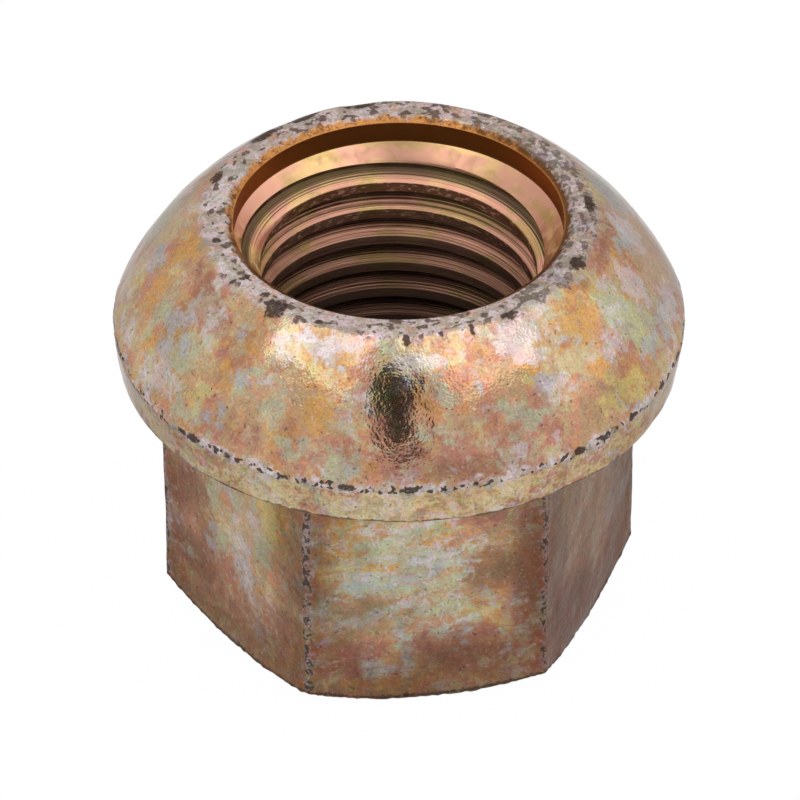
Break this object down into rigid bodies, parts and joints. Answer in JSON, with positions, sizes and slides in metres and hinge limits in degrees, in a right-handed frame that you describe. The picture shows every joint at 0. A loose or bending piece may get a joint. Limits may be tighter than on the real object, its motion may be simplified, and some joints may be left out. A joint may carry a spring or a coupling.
{
  "type": "lug nut",
  "caption": "Open-ended hexagon lug nut with a collar and a ball seat, threaded right through, in worn yellow zinc plate.",
  "frame": {"origin": "middle of the hexagon's end face, on the axis of the thread", "axes": "+Z along the thread, from the hexagon to the ball seat; the hexagon has flats facing -Y and +Y, and corners on X"},
  "size_m": [0.0258, 0.0258, 0.0202],
  "materials": {
    "plated_steel": "yellow chromate over zinc plate, mottled and worn to grey at the edges"
  },
  "bodies": {
    "root": {"lug_nut": "plated_steel"}
  },
  "joints": []
}
